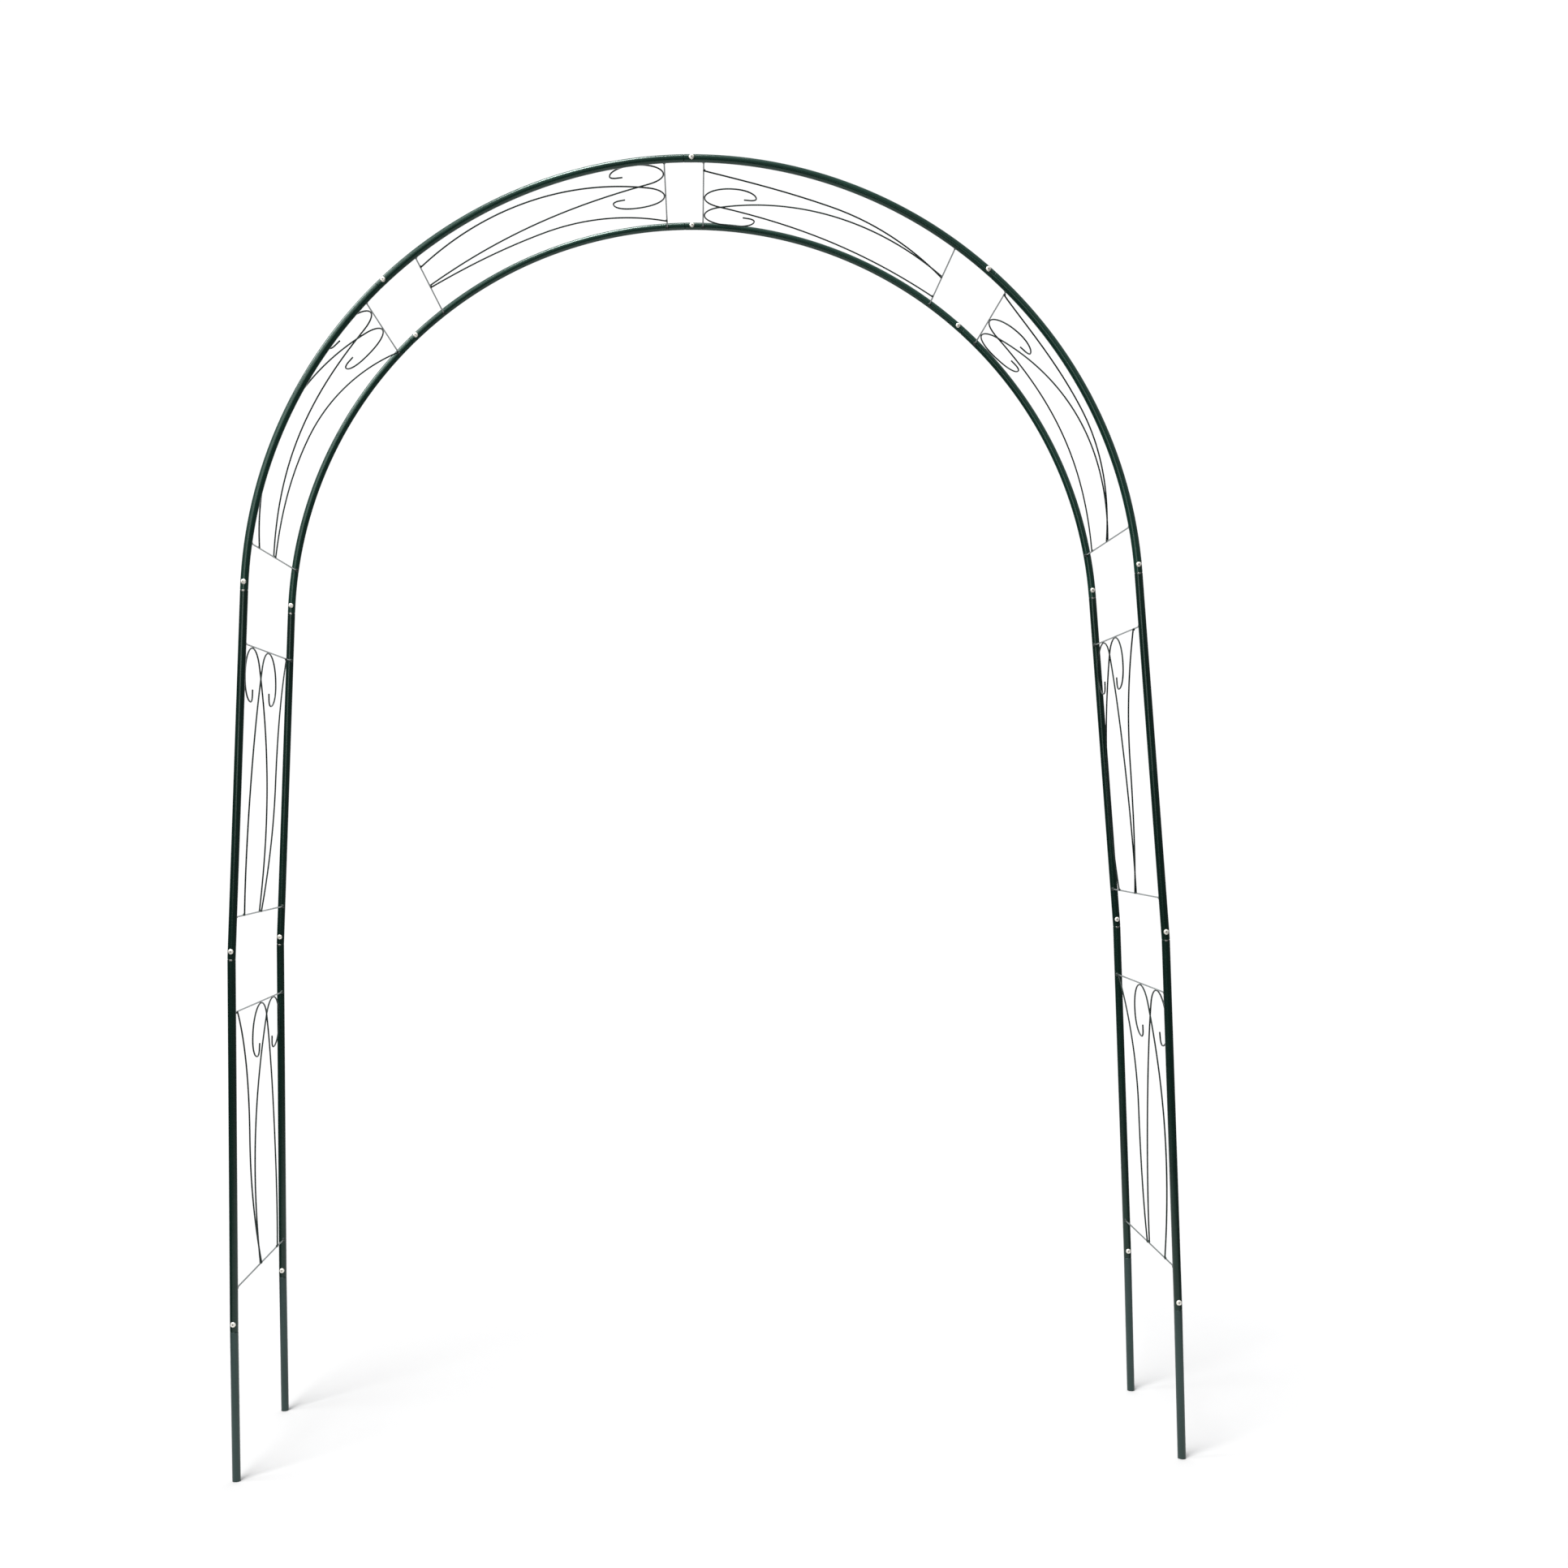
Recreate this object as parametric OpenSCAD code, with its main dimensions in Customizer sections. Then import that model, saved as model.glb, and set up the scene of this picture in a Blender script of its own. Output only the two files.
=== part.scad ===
// Knock-down garden rose arch: two hoops of round steel tube, joined by ladder panels
// whose rungs carry a bow-shaped wire and two crossing scroll wires.
// X runs across the walkway, Y runs through it and +Z is up. The origin is on the ground,
// midway between the four stakes. The left half is modelled, and turning it half a
// revolution about Z gives the right half.

/* [Overall] */
// Radius of the arch, to the centre of its tube
arch_radius = 820; // [600:10:1000]
// Distance between the front and the back hoop, tube centre to tube centre
hoop_spacing = 376; // [360:2:420]
// Height of the first joint above the ground, which is the plain length of a stake
stake_height = 269; // [200:1:400]
// Length of a leg panel from joint to joint
leg_length = 674; // [660:1:800]
// Inward lean of the lower leg panels, in degrees from vertical
lower_lean = 0.5; // [0:0.1:2]
// Inward lean of the upper leg panels, in degrees from vertical
upper_lean = 2.85; // [2:0.05:5]

/* [Tube] */
// Outer diameter of every tube
tube_d = 15; // [14:0.5:20]
// Wall thickness of every tube
wall = 1.1; // [0.8:0.1:1.3]
// Radial clearance of a swaged spigot in its socket
spigot_clearance = 0.2; // [0.1:0.05:0.4]
// Length of a spigot beyond its joint
spigot_length = 40; // [30:1:60]
// Length of the shoulder where a tube narrows to its spigot
shoulder_length = 2.5; // [2:0.1:5]

/* [Ladder and scrollwork] */
// Diameter of a rung
rung_d = 3; // [2.5:0.1:4]
// Diameter of the scroll and bow wires
wire_d = 3; // [2.5:0.1:4]
// Distance of a leg panel's first rung above its lower joint
leg_rung_start = 76; // [60:1:90]
// Distance of an arch panel's first rung above its lower joint
arch_rung_start = 87; // [76:1:95]
// Distance between a panel's two rungs
rung_spacing = 500; // [480:1:520]
// How far the rungs lie inward of the hoops' centre plane
rung_inset = 3; // [0:0.1:5]
// Distance of the scrolls' line of symmetry from the tube that the bow wire starts at
scroll_centre = 250; // [245:1:253]
// Distance of each scroll's crest from the line of symmetry
crest_offset = 55; // [50:1:56]
// Bend radius over the crest of a scroll
crest_bend = 56; // [50:1:58]
// Angle through which a scroll turns from its crest down to its stem, in degrees
crest_turn = 62; // [55:1:66]
// Straight length on the outer side of a scroll
outer_straight = 4; // [1:1:10]
// Bend radius under the outer side of a scroll
outer_bend = 41; // [36:1:44]
// Bend radius of a scroll's hook
hook_bend = 13; // [10:1:16]
// Angle of a scroll's hook, in degrees
hook_turn = 85; // [75:1:95]
// Straight length at the end of a scroll's hook
hook_straight = 12; // [6:1:16]
// Distance from the line of symmetry at which a scroll's stem meets the lower rung
stem_foot_offset = 62; // [50:1:70]
// Distance of each bow wire's top end from the tube it starts at, from the lower leg up
bow_top = [22, 50, 25, 50]; // [20:1:60]
// Distance of the bow wire's middle from the same tube
bow_middle = 127; // [110:1:130]
// Distance of the bow wire's lower end from the same tube
bow_foot = 185; // [180:1:190]
// Slope of the bow wire at its middle, in degrees
bow_middle_slope = -89; // [-92:1:-84]
// How far the wires of each panel, from the lower leg up, bulge out between its two rungs
wire_bulge = [6, -5, 22, 3]; // [-8:1:24]

/* [Bolts] */
// Shank diameter of a bolt
bolt_d = 5; // [4:0.5:5]
// Distance of a bolt beyond the joint that it holds
bolt_setback = 14; // [10:1:18]
// Diameter of a bolt's pan head
head_d = 9.5; // [9:0.5:11]
// Height of a bolt's pan head
head_h = 3.3; // [2.5:0.1:4]
// Width of a nut across its flats
nut_width = 8; // [7:0.5:9]
// Height of a nut
nut_h = 4; // [3:0.1:5]
// Length of bolt that stands out beyond its nut
bolt_tip = 1.5; // [1:0.5:3]

/* [Hidden] */
tube_r = tube_d / 2;
bore_r = tube_r - wall;
spigot_r = bore_r - spigot_clearance;
spigot_bore_r = spigot_r - wall;
// The shoulder has a small square step at both ends, which this is the height of
shoulder_step = 0.15;
// The spigot starts inside the shoulder by this length
spigot_root = 1.5;
// The hole for a bolt is wider than the bolt by this, and so is the nut's bore by less
hole_play = 0.4;
thread_play = 0.2;
// Pieces that are welded or clamped together stay this far apart
contact = 0.02;
// A cutting shape runs past what it cuts by this length
over = 1;
// Curves of a large radius need fine steps
fine = 256;
coarse = 48;

// The left hoop line in the XZ plane, by its joints from the ground up
foot_x = -(arch_radius * cos(upper_lean) + leg_length * (sin(upper_lean) + sin(lower_lean)));
foot_joint = [foot_x, stake_height];
knee_joint = foot_joint + leg_length * [sin(lower_lean), cos(lower_lean)];
spring_joint = knee_joint + leg_length * [sin(upper_lean), cos(upper_lean)];
arch_centre_z = spring_joint[1] - arch_radius * sin(upper_lean);
arch_span = 90 - upper_lean;
panel_span = arch_span / 2;
arch_panel_length = arch_radius * panel_span * PI / 180;

// Offset of the scroll wires from the rungs' own plane, so that they can cross
wire_offset = wire_d / 2 + 0.1;
// A crest lies under its rung with the two bars just in contact
crest_drop = sqrt(pow((rung_d + wire_d) / 2 + contact, 2) - pow(wire_offset, 2));
// A wire's cut end stops this far from the axis of its rung
wire_end = rung_d / 2 + 0.3 * wire_d;

SIDES = ["left", "right"];
HOOPS = ["front", "back"];
PANELS = ["lower_leg", "upper_leg", "lower_arch", "upper_arch"];
MEMBERS = ["front_tube", "back_tube", "rungs", "bow_wire", "inner_scroll", "outer_scroll"];

// ---- Places -------------------------------------------------------------------------

// Angle of an arch panel's lower joint above the horizontal, seen from the arch's centre
function panel_angle(panel) = upper_lean + (panel == "upper_arch" ? panel_span : 0);

// Angle that a length takes up along the arch
function along_arch(length) = length / arch_radius * 180 / PI;

// Slope of a panel's tubes from vertical at a distance above its lower joint
function slope_at(panel, length) =
    is_leg(panel) ? lean(panel) : panel_angle(panel) + along_arch(length);

// A point [inward, across, up] of a panel's own frame, in the whole model's frame
function panel_point(panel, p) =
    let (a = slope_at(panel, p[2]))
    is_leg(panel)
    ? let (joint = panel == "lower_leg" ? foot_joint : knee_joint)
    [
        joint[0] + p[2] * sin(a) + p[0] * cos(a),
        p[1],
        joint[1] + p[2] * cos(a) - p[0] * sin(a)
    ]
    : let (r = arch_radius - p[0])
    [-r * cos(a), p[1], arch_centre_z + r * sin(a)];

function hoop_y(hoop) = (hoop == "front" ? -1 : 1) * hoop_spacing / 2;

function is_leg(panel) = panel == "lower_leg" || panel == "upper_leg";

function lean(panel) = panel == "lower_leg" ? lower_lean : upper_lean;

// A panel's own value from a list that runs from the lower leg up
function of_panel(values, panel) = values[search([panel], PANELS)[0]];

function first_rung(panel) = is_leg(panel) ? leg_rung_start : arch_rung_start;

// The right half is the left half turned about Z, so its front hoop is drawn as a back one
function opposite(hoop) = hoop == "front" ? "back" : "front";

module on_side(side) {
    rotate([0, 0, side == "left" ? 0 : 180]) children();
}

// Puts +X inward and +Z up the tubes, at a distance above a panel's lower joint
module at_panel(panel, length) {
    translate(panel_point(panel, [0, 0, length]))
        rotate([0, slope_at(panel, length), 0]) children();
}

// ---- Tubes --------------------------------------------------------------------------

// The shoulder where a tube narrows to its spigot. It starts a little inside the tube.
module shoulder(r, step_r) {
    translate([0, 0, -shoulder_step])
        cylinder(r1 = r - shoulder_step, r2 = step_r, h = shoulder_length);
}

// A straight bar with a shoulder that ends just short of `length`
module straight_bar(length, r, step_r, below = 0) {
    full = length - shoulder_length;
    translate([0, 0, -below]) cylinder(r = r, h = full + below);
    translate([0, 0, full]) shoulder(r, step_r);
}

// A spigot that rises along +Z from the joint, and starts a little below it
module spigot_solid(r, extra = 0) {
    translate([0, 0, -spigot_root]) cylinder(r = r, h = spigot_root + spigot_length + extra);
}

// A stretch of the arch, as a bent round bar from one angle to another
module arch_bar(from, to, r) {
    translate([0, 0, arch_centre_z]) rotate([90, 0, 0])
        rotate_extrude(angle = to - from, start = 180 - to, $fn = fine)
            translate([arch_radius, 0]) circle(r = r, $fn = coarse);
}

module bolt_hole() {
    rotate([90, 0, 0])
        cylinder(d = bolt_d + hole_play, h = tube_d + 2 * over, center = true, $fn = coarse);
}

// A stake or a leg tube, whose straight spigot lies along the next leg's line
module straight_tube(length, kink, socket) {
    difference() {
        union() {
            straight_bar(length, tube_r, spigot_r + shoulder_step, $fn = coarse);
            translate([0, 0, length]) rotate([0, kink, 0]) spigot_solid(spigot_r, $fn = coarse);
        }
        straight_bar(length, bore_r, spigot_bore_r + shoulder_step, over, $fn = coarse);
        translate([0, 0, length]) rotate([0, kink, 0]) {
            spigot_solid(spigot_bore_r, over, $fn = coarse);
            translate([0, 0, bolt_setback]) bolt_hole();
        }
        if (socket) translate([0, 0, bolt_setback]) bolt_hole();
    }
}

// The spigot of a tube that enters an arch panel is bent with the arch
module arch_spigot_solid(angle, r, extra = 0) {
    arch_bar(angle - along_arch(spigot_root), angle + along_arch(spigot_length + extra), r);
}

module stake(hoop) {
    color("darkslategray")
        translate([foot_x, hoop_y(hoop), 0]) straight_tube(stake_height, lower_lean, false);
}

module lower_leg_tube() {
    at_panel("lower_leg", 0) straight_tube(leg_length, upper_lean - lower_lean, true);
}

module upper_leg_tube() {
    difference() {
        union() {
            at_panel("upper_leg", 0)
                straight_bar(leg_length, tube_r, spigot_r + shoulder_step, $fn = coarse);
            arch_spigot_solid(upper_lean, spigot_r);
        }
        at_panel("upper_leg", 0) {
            straight_bar(leg_length, bore_r, spigot_bore_r + shoulder_step, over, $fn = coarse);
            translate([0, 0, bolt_setback]) bolt_hole();
        }
        arch_spigot_solid(upper_lean, spigot_bore_r, over);
        at_panel("lower_arch", bolt_setback) bolt_hole();
    }
}

// The shoulder of an arch tube is straight
module arch_shoulder(panel, r, step_r) {
    at_panel(panel, arch_panel_length - shoulder_length) shoulder(r, step_r, $fn = coarse);
}

// An arch tube with a socket at its lower end and a spigot at its upper end
module arch_tube(panel) {
    lower = panel_angle(panel);
    upper = lower + panel_span;
    full = upper - along_arch(shoulder_length);
    difference() {
        union() {
            arch_bar(lower, full, tube_r);
            arch_shoulder(panel, tube_r, spigot_r + shoulder_step);
            arch_spigot_solid(upper, spigot_r);
        }
        arch_bar(lower - along_arch(over), full, bore_r);
        arch_shoulder(panel, bore_r, spigot_bore_r + shoulder_step);
        arch_spigot_solid(upper, spigot_bore_r, over);
        at_panel(panel, bolt_setback) bolt_hole();
        at_panel(panel, arch_panel_length + bolt_setback) bolt_hole();
    }
}

// The right upper arch tube has a socket at both ends, and so closes the arch
module closing_arch_tube() {
    difference() {
        arch_bar(panel_angle("upper_arch"), 90, tube_r);
        arch_bar(panel_angle("upper_arch") - along_arch(over), 90 + along_arch(over), bore_r);
        at_panel("upper_arch", bolt_setback) bolt_hole();
        at_panel("upper_arch", arch_panel_length - bolt_setback) bolt_hole();
    }
}

module panel_tube(side, panel, hoop) {
    color([0.10, 0.17, 0.15])
        translate([0, hoop_y(hoop), 0])
            if (panel == "lower_leg") lower_leg_tube();
            else if (panel == "upper_leg") upper_leg_tube();
            else if (panel == "upper_arch" && side == "right") closing_arch_tube();
            else arch_tube(panel);
}

// ---- Rungs --------------------------------------------------------------------------

// A rung between the facing sides of the two hoops, its ends coped to the tubes
module rung() {
    difference() {
        translate([rung_inset, 0, 0]) rotate([90, 0, 0])
            cylinder(d = rung_d, h = hoop_spacing - tube_r, center = true, $fn = coarse);
        for (hoop = HOOPS)
            translate([0, hoop_y(hoop), 0])
                cylinder(r = tube_r + contact, h = 3 * rung_d, center = true, $fn = coarse);
    }
}

module rungs(panel) {
    color([0.10, 0.17, 0.15])
        for (up = [0, rung_spacing])
            at_panel(panel, first_rung(panel) + up) rung();
}

// ---- Bent wires ---------------------------------------------------------------------
// A wire is a list of bends, each [radius, turn] or, where it is straight, [length, 0].
// A turn to the left is positive. Wires lie in a plane [across, up] that starts at the
// tube on the bow wire's side and at the lower rung.

// The one bend that leads from a point and a slope to another point
function bend_to(from, slope, to) =
    let (
        chord = to - from,
        turn = 2 * (atan2(chord[1], chord[0]) - slope)
    )
    [norm(chord) / (2 * sin(abs(turn) / 2)), turn];

// Where a bend that starts at `place`, [across, up, slope], has got to after a part of it
function after(place, bend, part = 1) =
    bend[1] == 0
    ? place + bend[0] * part * [cos(place[2]), sin(place[2]), 0]
    : let (
        r = sign(bend[1]) * bend[0],
        slope = place[2] + bend[1] * part
    )
    [
        place[0] + r * (sin(slope) - sin(place[2])),
        place[1] + r * (cos(place[2]) - cos(slope)),
        slope
    ];

crest = [scroll_centre - crest_offset, rung_spacing - crest_drop, 0];
// Where the bend over the crest ends and the stem goes on to the lower rung
stem_start = after(crest, [crest_bend, -crest_turn]);
stem_foot = [scroll_centre + stem_foot_offset, wire_end];
scroll_stem = [bend_to([stem_start[0], stem_start[1]], stem_start[2], stem_foot)];
// From the same place the other way: over the crest, down the outer side, under, and up
// into the hook
hook_slope = stem_start[2] + 180;
scroll_hook = [
    [crest_bend, crest_turn + 90],
    [outer_straight, 0],
    [outer_bend, 90],
    [hook_bend, hook_turn],
    [hook_straight, 0]
];
bow_centre = [bow_middle, rung_spacing / 2];

// Number of steps that a bend is drawn in: one for 12 degrees of turn or 30 mm of length
function steps(bend) =
    let (length = bend[1] == 0 ? bend[0] : bend[0] * abs(bend[1]) * PI / 180)
    max(ceil(abs(bend[1]) / 12), ceil(length / 30));

// Points along a wire
function trace(place, bends, i = 0) =
    i == len(bends)
    ? [place]
    : concat(
        [for (k = [0 : steps(bends[i]) - 1]) after(place, bends[i], k / steps(bends[i]))],
        trace(after(place, bends[i]), bends, i + 1)
    );

function backwards(list) = [for (i = [len(list) - 1 : -1 : 0]) list[i]];

function without_first(list) = [for (i = [1 : len(list) - 1]) list[i]];

scroll_points = concat(
    backwards(trace([stem_start[0], stem_start[1], hook_slope], scroll_hook)),
    without_first(trace(stem_start, scroll_stem))
);

// A bow wire is two bends that meet in its middle
function bow_points(panel) =
    let (
        start = [of_panel(bow_top, panel), rung_spacing - wire_end],
        chord = bow_centre - start,
        slope = 2 * atan2(chord[1], chord[0]) - bow_middle_slope
    )
    trace([start[0], start[1], slope], [
        bend_to(start, slope, bow_centre),
        bend_to(bow_centre, bow_middle_slope, [bow_foot, wire_end])
    ]);

// Number of sides of a swept wire
sides = 8;

// How far the wires of a panel lie outward of their plane at a height above its joint
function bulge(panel, up) =
    let (rise = (up - first_rung(panel) - wire_end) / (crest[1] - wire_end))
    of_panel(wire_bulge, panel) * max(0, sin(180 * rise));

// A round wire swept along points [across, up] of a panel, at an inset from the hoops'
// centre plane. Each ring stands on the inward direction and the wire's own.
module swept_wire(points, inset, panel) {
    last = len(points) - 1;
    centres = [
        for (p = points) panel_point(panel, [inset - bulge(panel, p[1]), p[0], p[1]])
    ];
    rings = [
        for (i = [0 : last])
            let (
                along = centres[min(i + 1, last)] - centres[max(i - 1, 0)],
                angle = slope_at(panel, points[i][1]),
                inward = [cos(angle), 0, -sin(angle)],
                across = cross(inward, along),
                beside = across / norm(across)
            )
            for (k = [0 : sides - 1])
                let (turn = 360 * (k + 0.5) / sides)
                centres[i] + wire_d / 2 * (cos(turn) * inward + sin(turn) * beside)
    ];
    walls = [
        for (i = [0 : last - 1], k = [0 : sides - 1])
            let (next = (k + 1) % sides)
            each [
                [i * sides + k, (i + 1) * sides + k, i * sides + next],
                [i * sides + next, (i + 1) * sides + k, (i + 1) * sides + next]
            ]
    ];
    lower_cap = [for (k = [0 : sides - 1]) k];
    upper_cap = [for (k = [sides - 1 : -1 : 0]) last * sides + k];
    polyhedron(points = rings, faces = concat([lower_cap], walls, [upper_cap]));
}

// The bow wire starts at the front tube in the lower leg, and at the back tube elsewhere
function from_bow_side(panel, across) =
    (panel == "lower_leg" ? 1 : -1) * (across - hoop_spacing / 2);

function placed(panel, points) =
    [for (p = points) [from_bow_side(panel, p[0]), first_rung(panel) + p[1]]];

function mirrored(points) = [for (p = points) [2 * scroll_centre - p[0], p[1]]];

module bow_wire(panel) {
    color([0.07, 0.11, 0.10])
        swept_wire(placed(panel, bow_points(panel)), rung_inset + wire_offset, panel);
}

// The inner scroll's loop lies nearer the bow wire
module inner_scroll(panel) {
    color([0.07, 0.11, 0.10])
        swept_wire(placed(panel, scroll_points), rung_inset + wire_offset, panel);
}

// The outer scroll is its mirror image, and lies behind it
module outer_scroll(panel) {
    color([0.07, 0.11, 0.10])
        swept_wire(placed(panel, mirrored(scroll_points)), rung_inset - wire_offset, panel);
}

// ---- Fasteners ----------------------------------------------------------------------

// Puts +Z at a joint's bolt pointing to the front, on the tube's axis, for both hoops
module at_left_bolts() {
    for (hoop = HOOPS)
        translate([0, hoop_y(hoop), 0]) {
            for (panel = PANELS)
                at_panel(panel, bolt_setback) rotate([90, 0, 0]) children();
        }
}

module at_crown_bolts() {
    for (hoop = HOOPS)
        translate([0, hoop_y(hoop), 0])
            at_panel("upper_arch", arch_panel_length + bolt_setback)
                rotate([90, 0, 0]) children();
}

module at_every_bolt() {
    at_left_bolts() children();
    mirror([1, 0, 0]) at_left_bolts() children();
    at_crown_bolts() children();
}

module bolt() {
    dome_r = head_d * 0.85;
    recess = [head_d * 0.5, head_d * 0.12, head_h * 0.5];
    translate([0, 0, tube_r + contact]) difference() {
        intersection() {
            cylinder(d = head_d, h = head_h, $fn = coarse);
            translate([0, 0, head_h - dome_r]) sphere(r = dome_r, $fn = coarse);
        }
        for (turn = [0, 90])
            rotate([0, 0, turn]) translate([0, 0, head_h])
                cube([recess[0], recess[1], 2 * recess[2]], center = true);
    }
    translate([0, 0, -tube_r - nut_h - bolt_tip])
        cylinder(d = bolt_d, h = tube_d + contact + nut_h + bolt_tip, $fn = coarse);
}

module nut() {
    translate([0, 0, -tube_r - contact - nut_h]) difference() {
        cylinder(d = nut_width / cos(30), h = nut_h, $fn = 6);
        translate([0, 0, -over])
            cylinder(d = bolt_d + thread_play, h = nut_h + 2 * over, $fn = coarse);
    }
}

module joint_bolts() {
    color("silver") at_every_bolt() bolt();
}

module joint_nuts() {
    color("silver") at_every_bolt() nut();
}

// ---- Assembly -----------------------------------------------------------------------

module member(side, panel, name) {
    // A turned half swaps its front and back tubes
    if (name == "front_tube") panel_tube(side, panel, side == "left" ? "front" : opposite("front"));
    if (name == "back_tube") panel_tube(side, panel, side == "left" ? "back" : opposite("back"));
    if (name == "rungs") rungs(panel);
    if (name == "bow_wire") bow_wire(panel);
    if (name == "inner_scroll") inner_scroll(panel);
    if (name == "outer_scroll") outer_scroll(panel);
}

for (s = SIDES, h = HOOPS)
    on_side(s) stake(s == "left" ? h : opposite(h));
for (s = SIDES, p = PANELS, m = MEMBERS)
    on_side(s) member(s, p, m);
joint_bolts();
joint_nuts();
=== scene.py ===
"""The looks of a knock-down garden rose arch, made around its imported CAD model.

Everything is in metres, in the row frame: X across the walkway, Y through it, +Z up.
The left half of the arch is laid out, and half a turn about Z gives the right half.
"""

import math
import random

import bpy
from mathutils import Matrix, Vector, noise


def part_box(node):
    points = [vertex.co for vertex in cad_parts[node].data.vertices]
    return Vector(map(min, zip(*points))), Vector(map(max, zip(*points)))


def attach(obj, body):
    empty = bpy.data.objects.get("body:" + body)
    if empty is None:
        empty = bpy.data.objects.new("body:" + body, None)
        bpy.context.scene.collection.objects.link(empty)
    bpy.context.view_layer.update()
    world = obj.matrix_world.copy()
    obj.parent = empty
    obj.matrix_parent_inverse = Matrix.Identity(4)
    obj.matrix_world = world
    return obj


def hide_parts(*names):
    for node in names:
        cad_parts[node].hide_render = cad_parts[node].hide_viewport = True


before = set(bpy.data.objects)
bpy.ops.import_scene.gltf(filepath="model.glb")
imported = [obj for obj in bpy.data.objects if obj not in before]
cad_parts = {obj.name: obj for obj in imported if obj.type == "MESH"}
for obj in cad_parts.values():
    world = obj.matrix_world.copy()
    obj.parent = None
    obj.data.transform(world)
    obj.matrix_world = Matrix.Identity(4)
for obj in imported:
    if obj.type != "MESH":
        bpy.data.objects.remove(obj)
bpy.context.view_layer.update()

# ---- Driving dimensions ----------------------------------------------------------------

ARCH_RADIUS = 0.820
STAKE_HEIGHT = 0.269
LEG_LENGTH = 0.674
LOWER_LEAN = math.radians(0.5)
UPPER_LEAN = math.radians(2.85)

TUBE_R = 0.0075
WALL = 0.0011
SPIGOT_CLEARANCE = 0.0002
SPIGOT_LENGTH = 0.040
SHOULDER_LENGTH = 0.0025

RUNG_R = 0.0015
WIRE_R = 0.0015
# The outer scroll wire passes the other two with twice this between them
WIRE_CLEARANCE = 0.0001
# A panel's lower rung is this far up from its lower joint
LEG_RUNG_START = 0.076
ARCH_RUNG_START = 0.087
RUNG_SPACING = 0.500
# Rungs lie this far inward of the tubes' axes
RUNG_INSET = 0.003
# Places across a panel are measured from the tube on the bow wire's side
SCROLL_CENTRE = 0.250
CREST_OFFSET = 0.055
CREST_BEND = 0.056
CREST_TURN = math.radians(62)
OUTER_STRAIGHT = 0.004
OUTER_BEND = 0.041
HOOK_BEND = 0.013
HOOK_TURN = math.radians(85)
HOOK_STRAIGHT = 0.012
STEM_FOOT_OFFSET = 0.062
# Where each panel's bow wire starts on its upper rung
BOW_TOP = {"lower_leg": 0.022, "upper_leg": 0.050, "lower_arch": 0.025, "upper_arch": 0.050}
BOW_MIDDLE = 0.127
BOW_FOOT = 0.185
BOW_MIDDLE_SLOPE = math.radians(-89)
# How far a panel's wires bulge out between its two rungs
WIRE_BULGE = {"lower_leg": 0.006, "upper_leg": -0.005, "lower_arch": 0.022, "upper_arch": 0.003}

BOLT_R = 0.0025
# A bolt goes through its joint this far up from the upper tube's end
BOLT_SETBACK = 0.014
HEAD_R = 0.00475
HEAD_H = 0.0033
NUT_WIDTH = 0.008
NUT_H = 0.004
BOLT_TIP = 0.0015
# Parts that bear on each other are kept this far apart
CONTACT = 0.00002

# ---- Derived sizes and places ----------------------------------------------------------

BORE_R = TUBE_R - WALL
SPIGOT_R = BORE_R - SPIGOT_CLEARANCE
SPIGOT_BORE_R = SPIGOT_R - WALL
WIRE_OFFSET = WIRE_R + WIRE_CLEARANCE
CREST_DROP = math.sqrt((RUNG_R + WIRE_R + CONTACT) ** 2 - WIRE_OFFSET**2)

# The stakes' places come from the frame, and the rest is built up from them
stake_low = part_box("left_front_stake")[0]
FOOT = Vector((stake_low.x + TUBE_R, 0, 0))
HOOP_Y = -(stake_low.y + TUBE_R)

# Unit vector through the walkway, from the front hoop to the back one
THROUGH = Vector((0, 1, 0))


def leaning(angle):
    """Unit vector up a tube that leans inward by an angle."""
    return Vector((math.sin(angle), 0, math.cos(angle)))


def inward_at(angle):
    """Unit vector square to that tube, towards the walkway."""
    return Vector((math.cos(angle), 0, -math.sin(angle)))


FOOT_JOINT = FOOT + STAKE_HEIGHT * leaning(0)
KNEE_JOINT = FOOT_JOINT + LEG_LENGTH * leaning(LOWER_LEAN)
SPRING_JOINT = KNEE_JOINT + LEG_LENGTH * leaning(UPPER_LEAN)
ARCH_CENTRE = SPRING_JOINT + ARCH_RADIUS * inward_at(UPPER_LEAN)
PANEL_SPAN = (math.pi / 2 - UPPER_LEAN) / 2
ARCH_PANEL_LENGTH = ARCH_RADIUS * PANEL_SPAN

SIDES = ("left", "right")
HOOPS = {"front": -HOOP_Y, "back": HOOP_Y}
PANELS = ("lower_leg", "upper_leg", "lower_arch", "upper_arch")
# Lower end and lean of each straight stretch of a hoop, and lower angle of each bent one
STRAIGHTS = {
    "stake": (FOOT, 0.0),
    "lower_leg": (FOOT_JOINT, LOWER_LEAN),
    "upper_leg": (KNEE_JOINT, UPPER_LEAN),
}
BENDS = {"lower_arch": UPPER_LEAN, "upper_arch": UPPER_LEAN + PANEL_SPAN}
LENGTHS = {
    "stake": STAKE_HEIGHT,
    "lower_leg": LEG_LENGTH,
    "upper_leg": LEG_LENGTH,
    "lower_arch": ARCH_PANEL_LENGTH,
    "upper_arch": ARCH_PANEL_LENGTH,
}
# What a tube's spigot runs on into; over the crown it runs on along the same arch
NEXT = {"stake": "lower_leg", "lower_leg": "upper_leg", "upper_leg": "lower_arch"}


def slope_at(panel, up):
    """Angle from vertical of a panel's tubes, at a distance up from its lower joint."""
    if panel in STRAIGHTS:
        return STRAIGHTS[panel][1]
    return BENDS[panel] + up / ARCH_RADIUS


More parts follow.
